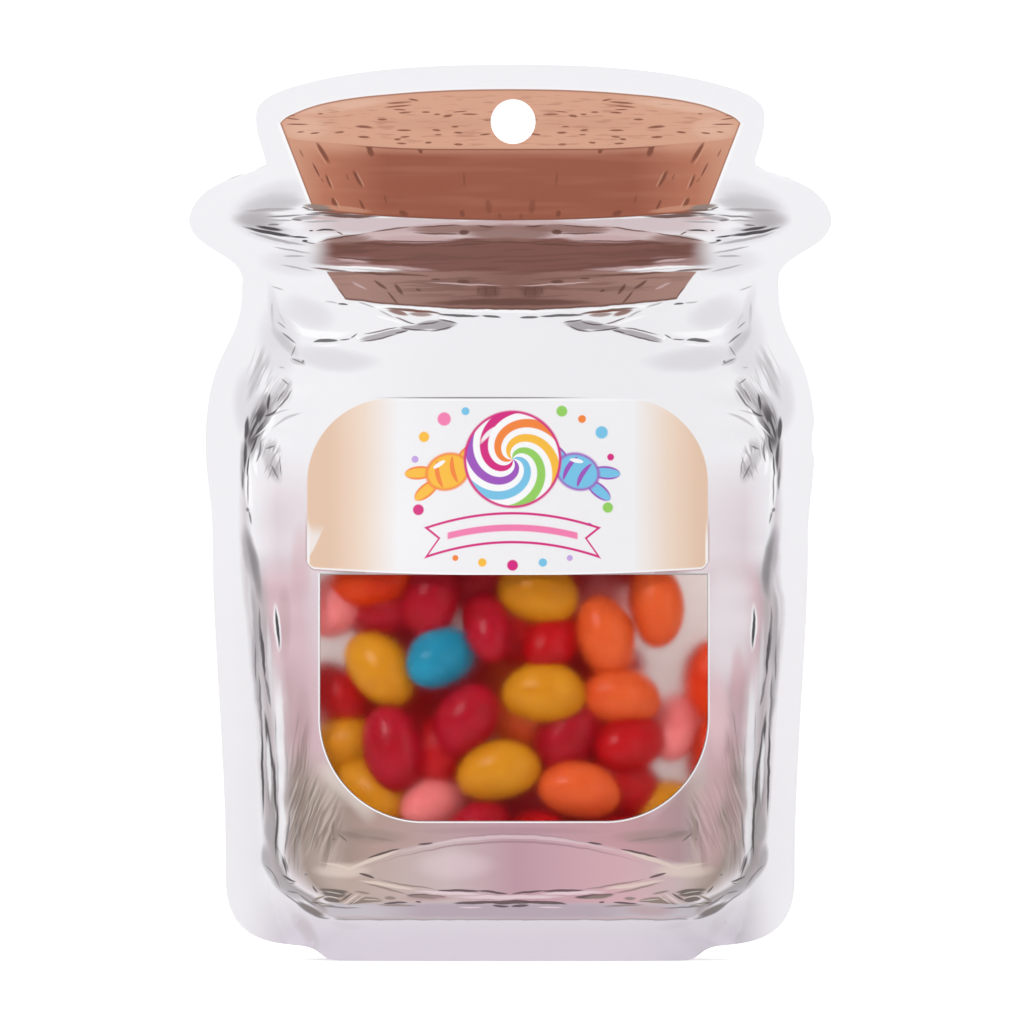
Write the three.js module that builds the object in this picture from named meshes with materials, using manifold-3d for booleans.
// A stand-up pouch of jelly beans, die-cut to the outline of a corked jar.
// Millimetres, +Z up, the window faces -Y. The origin is the middle of the foot, on the ground.
// The bag is one closed film body with a pocket behind its clear window; the beans fill the pocket.

import * as THREE from "three";
import { mergeVertices } from "three/addons/utils/BufferGeometryUtils.js";
import Module from "manifold-3d";

// ---- Driving dimensions ----------------------------------------------------------------------

const BAG_HEIGHT = 160;
const LIP_HALF_WIDTH = 57.5; // the bag's widest place, where the jar's lip is drawn
const SEAL_THICKNESS = 0.8; // both panels and the sealing layer between them
const CUTTER_REACH = 60; // how far a cutting prism runs past the bag on every side

// The belly: half depth on the centre line, half width inside the side seals, and how square the
// cross-section is, each at a height over the foot.
const HALF_DEPTH = [
  [-10, 15.6], [0, 17], [12, 19], [30, 19.8], [50, 18.2], [70, 14.8],
  [90, 10.2], [110, 5.2], [125, 1.9], [138, 0.2], [143, 0],
];
const INNER_HALF_WIDTH = [
  [-10, 38], [0, 39.5], [8, 41.5], [16, 43.8], [45, 45.2], [70, 46.6],
  [92, 47.4], [106, 44.5], [117, 41.4], [128, 40], [143, 38],
];
const SQUARENESS = [[-10, 6], [8, 5], [20, 3.6], [40, 2.8], [70, 2.3], [100, 2], [143, 2]];
const BELLY_TOP = 143; // above it the bag is a flat header
const BELLY = { columns: 28, rows: 30, below: 8, above: 5 }; // cells, and reach past the bag
const COLUMN_SPREAD = Math.PI / 2.2; // columns crowd towards the side seals

const POINTS_A_CURVE = 9; // on the bag's outline
const HOLE = { x: 0.5, z: 149.8, radius: 4 };

const WINDOW = { left: -33.9, right: 35.2, bottom: 25, top: 68.8, corner: 18.3 };
const WINDOW_FILM = 0.5;
const FIT_GAP = 0.3; // between the pouch, its window and the beans
const POCKET_BACK = 4; // Y of the pocket's floor, behind the bag's middle

// The foot: the bottom panel is flat in its middle, where it stands, and folds up towards the
// skirts and still higher towards the two corners, where it is no longer as steep at the skirts.
const GUSSET = { halfLength: 38, skirt: 1.2, columns: 24, rows: 14, below: 6, least: 0.05 };
const FOOT_FLAT = { halfLength: 20, halfWidth: 7, drop: 0.5 };
const FOOT_RISE = { skirt: 6.5, skirtAt: 17, corner: 14, cornerAt: 44, cornerEase: 0.4 };

// The beans: a long oval each, and the ones that show, as [X, Z, lean in degrees, sunk behind
// the front row, length if seen end on]. A lean of 0 lies level, and a positive one rises to +X.
const BEAN = { length: 15.2, thickness: 10.4, around: 10, along: 7 };
const END_ON = 10.8;
const SHOWN_BEANS = [
  [-30.6, 63.6, 40, 1.5, END_ON], [-24.7, 68, 10, 0.5], [-21.8, 62, 20, 5], [-14, 64.2, 80, 1.5],
  [-4.1, 59.7, 100, 0.5], [5, 65.6, -15, 0], [7.5, 57.2, 60, 2, END_ON], [17, 57.8, 105, 0.5],
  [26, 63.2, 95, 0], [-23.4, 52, -50, 0], [-12.9, 54, 30, 0, END_ON], [6, 47.7, 0, 0],
  [19.8, 47, -5, 1], [33.2, 49.7, 90, 1], [-30.9, 47.2, -40, 4], [-21, 37.7, 100, 0],
  [-7.9, 42.9, 55, 0.5], [-30.4, 38, 20, 3], [-24.7, 29.5, -45, 2], [-14.2, 27.6, 20, 2, END_ON],
  [-2.1, 33.8, 12, 0], [12.3, 30.4, -10, 0], [21.3, 38.6, 20, 1, END_ON], [10.4, 40, 60, 4],
  [29.4, 42.4, 70, 4], [21.3, 30, -30, 3], [33.2, 36.6, 80, 4], [26.6, 29.5, -40, 3],
  [3.6, 42.5, 0, 7], [-12.7, 36.6, 75, 5],
];
const CORE_SINK = 6.5; // how far the beans' common core lies behind the film
const BEAN_CLEARANCE = 0.9; // from the bag's outer face to the front of the nearest beans

// ---- Solids ----------------------------------------------------------------------------------

const wasm = await Module();
wasm.setup();

/** A three.js geometry as a closed solid. */
function solid(geometry) {
  const bare = geometry.index ? geometry.toNonIndexed() : geometry.clone();
  bare.deleteAttribute("normal");
  bare.deleteAttribute("uv");
  const merged = mergeVertices(bare, 1e-4);
  return new wasm.Manifold(
    new wasm.Mesh({
      numProp: 3,
      vertProperties: new Float32Array(merged.attributes.position.array),
      triVerts: new Uint32Array(merged.index.array),
    }),
  );
}

/** A closed solid as a named mesh in its own material. */
function named(name, body, material) {
  const made = body.getMesh();
  const geometry = new THREE.BufferGeometry();
  geometry.setAttribute("position", new THREE.BufferAttribute(made.vertProperties, 3));
  geometry.setIndex(new THREE.BufferAttribute(made.triVerts, 1));
  geometry.computeVertexNormals();
  const mesh = new THREE.Mesh(geometry, material);
  mesh.name = name;
  return mesh;
}

/** The value at a height, on a smooth curve through [height, value] stations. */
function alongHeight(stations, z) {
  const last = stations.length - 1;
  const i = stations.findIndex((_, k) => k === last - 1 || z < stations[k + 1][0]);
  const slope = (k) => {
    const a = Math.max(k - 1, 0);
    const b = Math.min(k + 1, last);
    return (stations[b][1] - stations[a][1]) / (stations[b][0] - stations[a][0]);
  };
  const [z0, v0] = stations[i];
  const [z1, v1] = stations[i + 1];
  const span = z1 - z0;
  const t = THREE.MathUtils.clamp((z - z0) / span, 0, 1);
  const [t2, t3] = [t * t, t * t * t];
  return (
    (2 * t3 - 3 * t2 + 1) * v0 + (t3 - 2 * t2 + t) * span * slope(i) +
    (3 * t2 - 2 * t3) * v1 + (t3 - t2) * span * slope(i + 1)
  );
}

/** How far the film stands off the bag's middle plane. */
function bulge(x, z) {
  const across = Math.min(Math.abs(x) / alongHeight(INNER_HALF_WIDTH, z), 1);
  const depth = Math.max(alongHeight(HALF_DEPTH, z), 0);
  return depth * (1 - across ** alongHeight(SQUARENESS, z));
}

/** The distance from the middle plane to the bag's outer face. */
function outerFace(x, z) {
  return bulge(x, z) + SEAL_THICKNESS / 2;
}

/** A box of many cells as a solid, its corners, from -1 to 1 each way, moved by a function. */
function shaped(box, place) {
  const corners = box.attributes.position;
  for (let i = 0; i < corners.count; i++) {
    const [x, y, z] = place(corners.getX(i), corners.getY(i), corners.getZ(i));
    corners.setXYZ(i, x, y, z);
  }
  return solid(box);
}

/** A slab between two faces that follow the belly; the faces give Y at an X and a Z. */
function bellySlab(front, back) {
  const sealStart = 1 - 2 / BELLY.columns; // the outermost column on each side is the flat seal
  const height = BAG_HEIGHT + BELLY.below + BELLY.above;
  const box = new THREE.BoxGeometry(2, 2, 2, BELLY.columns, 1, BELLY.rows);
  return shaped(box, (u, side, v) => {
    const z = (height * (v + 1)) / 2 - BELLY.below;
    const inner = alongHeight(INNER_HALF_WIDTH, Math.min(z, BELLY_TOP));
    const across = u / sealStart;
    const crowded = Math.sin(across * COLUMN_SPREAD) / Math.sin(COLUMN_SPREAD);
    const x = Math.abs(u) === 1 ? u * CUTTER_REACH : crowded * inner;
    return [x, side < 0 ? front(x, z) : back(x, z), z];
  });
}

/** A shape drawn in X and Z, run through the bag from front to back. */
function prism(shape, back = CUTTER_REACH) {
  const depth = back + CUTTER_REACH;
  const geometry = new THREE.ExtrudeGeometry(shape, { depth, bevelEnabled: false, curveSegments: 12 });
  return solid(geometry.rotateX(Math.PI / 2).translate(0, back, 0));
}

// ---- Outlines --------------------------------------------------------------------------------

/** The die-cut outline: foot, corner lobe, side, shoulder, lip and cork, mirrored left. */
function bagOutline() {
  const half = new THREE.Path();
  half.moveTo(0, 0);
  half.lineTo(30.5, 0);
  half.bezierCurveTo(34.4, 0, 33, 2.3, 38, 2.6);
  half.bezierCurveTo(45.5, 2.9, 50.9, 5.2, 50.9, 14.5);
  half.bezierCurveTo(50.7, 34, 53.3, 58, 53.25, 74);
  half.bezierCurveTo(53.2, 82, 54.55, 86, 54.55, 93);
  half.bezierCurveTo(54.1, 110.6, 47.8, 108.9, 48, 120.5);
  half.bezierCurveTo(46.8, 126.3, 57.3, 126.4, LIP_HALF_WIDTH, 132.3);
  half.bezierCurveTo(56, 141.1, 42.1, 139.8, 43.9, 143.2);
  half.bezierCurveTo(44.3, 145.2, 45.6, 147.2, 45.5, 151);
  half.bezierCurveTo(45.4, 153, 43.6, 154.6, 39.2, 155.9);
  half.bezierCurveTo(27.5, 159.6, 12, BAG_HEIGHT, 0, BAG_HEIGHT);
  const right = half.getPoints(POINTS_A_CURVE);
  const left = right.slice(1, -1).reverse().map((p) => new THREE.Vector2(-p.x, p.y));
  return new THREE.Shape([...right, ...left]);
}

/** The window: square at the top, where the label covers it, and round below. */
function windowOutline(inset) {
  const { left, right, bottom, top, corner } = WINDOW;
  const shape = new THREE.Shape();
  shape.moveTo(left + inset, top - inset);
  shape.lineTo(left + inset, bottom + corner);
  shape.absarc(left + corner, bottom + corner, corner - inset, Math.PI, 1.5 * Math.PI, false);
  shape.lineTo(right - corner, bottom + inset);
  shape.absarc(right - corner, bottom + corner, corner - inset, -Math.PI / 2, 0, false);
  shape.lineTo(right - inset, top - inset);
  shape.closePath();
  return shape;
}

/** The punched hole that hangs the bag on a rail. */
function holeOutline() {
  const shape = new THREE.Shape();
  shape.absarc(HOLE.x, HOLE.z, HOLE.radius, 0, 2 * Math.PI, false);
  return shape;
}

// ---- Pieces ----------------------------------------------------------------------------------

/** The hollow under the bottom panel, between the front and back skirts. */
function gussetHollow() {
  const { smoothstep } = THREE.MathUtils;
  const box = new THREE.BoxGeometry(2, 2, 2, GUSSET.columns, GUSSET.rows, 1);
  return shaped(box, (u, v, level) => {
    const x = u * GUSSET.halfLength;
    const y = v * Math.max(bulge(x, 0) - GUSSET.skirt, GUSSET.least);
    const toCorner = smoothstep(Math.abs(x), FOOT_FLAT.halfLength, FOOT_RISE.cornerAt);
    const toSkirt = smoothstep(Math.abs(y), FOOT_FLAT.halfWidth, FOOT_RISE.skirtAt);
    const skirtRise = FOOT_RISE.skirt * toSkirt * (1 - FOOT_RISE.cornerEase * toCorner);
    const roof = FOOT_RISE.corner * toCorner + skirtRise - FOOT_FLAT.drop;
    return [x, y, level < 0 ? -GUSSET.below : roof];
  });
}

/** The filled bag: the belly cut to the outline, open at the hole, the foot and the window. */
function pouch() {
  const belly = bellySlab((x, z) => -outerFace(x, z), (x, z) => outerFace(x, z));
  return belly
    .intersect(prism(bagOutline()))
    .subtract(prism(holeOutline()))
    .subtract(gussetHollow())
    .subtract(prism(windowOutline(0), POCKET_BACK));
}

/** The clear film over the window, flush with the belly. */
function windowFilm() {
  const sheet = bellySlab(
    (x, z) => -outerFace(x, z),
    (x, z) => WINDOW_FILM - outerFace(x, z),
  );
  return sheet.intersect(prism(windowOutline(FIT_GAP)));
}

/** One bean, on its side, leaning in the plane of the window. */
function bean([x, z, lean, sunk, length = BEAN.length]) {
  const radius = BEAN.thickness / 2;
  const oval = new THREE.SphereGeometry(1, BEAN.around, BEAN.along);
  oval.rotateZ(Math.PI / 2);
  oval.scale(length / 2, radius, radius);
  oval.rotateY(-THREE.MathUtils.degToRad(lean));
  oval.translate(x, radius + BEAN_CLEARANCE + sunk - outerFace(x, z), z);
  return solid(oval);
}

/** The beans behind the window: a core that fills the pocket, with the ones that show on it. */
function beanHeap() {
  const pocket = bellySlab(
    (x, z) => BEAN_CLEARANCE - outerFace(x, z),
    () => POCKET_BACK - FIT_GAP,
  );
  const core = bellySlab(
    (x, z) => Math.min(CORE_SINK - outerFace(x, z), 0),
    () => POCKET_BACK - FIT_GAP,
  );
  const heap = SHOWN_BEANS.map(bean).reduce((whole, one) => whole.add(one), core);
  return heap.intersect(pocket).intersect(prism(windowOutline(FIT_GAP)));
}

// ---- The object ------------------------------------------------------------------------------

const printedFilm = new THREE.MeshStandardMaterial({ color: 0xe6e2e6, roughness: 0.3, metalness: 0 });
const clearFilm = new THREE.MeshStandardMaterial({
  color: 0xf4f4f6, roughness: 0.15, metalness: 0, transparent: true, opacity: 0.35,
});
const candy = new THREE.MeshStandardMaterial({ color: 0xd2381e, roughness: 0.25, metalness: 0 });

const bag = new THREE.Group();
bag.name = "jar_shaped_pouch";
bag.add(named("pouch", pouch(), printedFilm));
bag.add(named("window_film", windowFilm(), clearFilm));
bag.add(named("jelly_beans", beanHeap(), candy));

export default bag;
